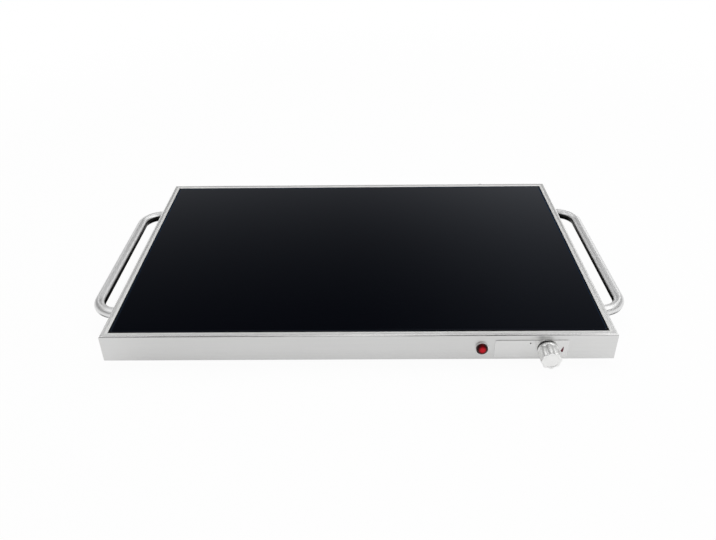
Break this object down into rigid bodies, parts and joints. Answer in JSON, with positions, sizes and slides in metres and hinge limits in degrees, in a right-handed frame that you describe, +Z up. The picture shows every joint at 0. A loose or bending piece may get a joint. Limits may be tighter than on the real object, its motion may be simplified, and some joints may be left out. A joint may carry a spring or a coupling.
{
  "type": "electric food warmer tray",
  "caption": "Low stainless steel food warming tray with a black glass top, a tube handle on each short side, and a red lamp and fluted control knob on the front.",
  "frame": {"origin": "under the middle of the tray, on the surface its feet stand on", "axes": "+Z up, +Y to the back (knob and lamp face -Y), +X to the right, along the tray's long side"},
  "size_m": [0.676, 0.4448, 0.046],
  "materials": {
    "frame_steel": "brushed",
    "black_glass": "polished black",
    "black_silicone": "matte",
    "handle_steel": "satin",
    "plain_steel": "plain",
    "zinc_steel": "zinc plated",
    "base_steel": "galvanised",
    "foot_rubber": "matte",
    "bright_plate": "satin",
    "knob_chrome": "satin bright",
    "brass": "plain",
    "white_ceramic": "unglazed",
    "ivory_ceramic": "glazed",
    "lamp_bezel": "bright",
    "red_lens": "gloss",
    "spreader_aluminium": "mill",
    "element_sheath": "oxidised",
    "fibre_mat": "fibrous",
    "copper": "plain copper",
    "black_plastic": "matte",
    "brown_sleeve": "glass-fibre sleeve",
    "red_sleeve": "glass-fibre sleeve",
    "blue_sleeve": "glass-fibre sleeve",
    "green_sleeve": "green and yellow sleeve"
  },
  "bodies": {
    "tray": {"casing": "frame_steel", "glass_top": "black_glass", "glass_seal": "black_silicone", "handle_left": "handle_steel", "handle_right": "handle_steel", "handle_plugs": "plain_steel", "handle_screws": "zinc_steel", "handle_washers": "zinc_steel", "base_plate": "base_steel", "base_screws": "zinc_steel", "feet": "foot_rubber", "foot_screws": "zinc_steel", "foot_nuts": "zinc_steel", "control_plate": "bright_plate", "thermostat_body": "white_ceramic", "thermostat_nut": "zinc_steel", "lamp_body": "lamp_bezel", "lamp_lens": "red_lens", "lamp_clip": "zinc_steel", "heat_spreader": "spreader_aluminium", "heating_element": "element_sheath", "element_clips": "spreader_aluminium", "insulation_mat": "fibre_mat", "hold_down_pan": "base_steel", "pan_nuts": "zinc_steel", "sensing_bulb": "copper", "bulb_clips": "spreader_aluminium", "capillary_tube": "copper", "thermal_cutout": "black_plastic", "cutout_rivets": "zinc_steel", "terminal_block": "ivory_ceramic", "block_screws": "zinc_steel", "cable_gland": "black_plastic", "gland_locknut": "black_plastic", "gland_bushing": "foot_rubber", "gland_nut": "black_plastic", "earth_stud": "brass", "earth_nut": "brass", "earth_ring": "zinc_steel", "live_lead": "brown_sleeve", "link_lead": "brown_sleeve", "element_lead": "red_sleeve", "return_lead": "blue_sleeve", "lamp_leads": "blue_sleeve", "earth_lead": "green_sleeve"},
    "dial": {"knob": "knob_chrome", "thermostat_spindle": "brass"}
  },
  "joints": [
    {"name": "knob_turn", "type": "hinge", "parent": "tray", "child": "dial", "pos_m": [0.2203, -0.2, 0.026], "axis": [0, 1, 0], "range_deg": [0, 210]}
  ]
}
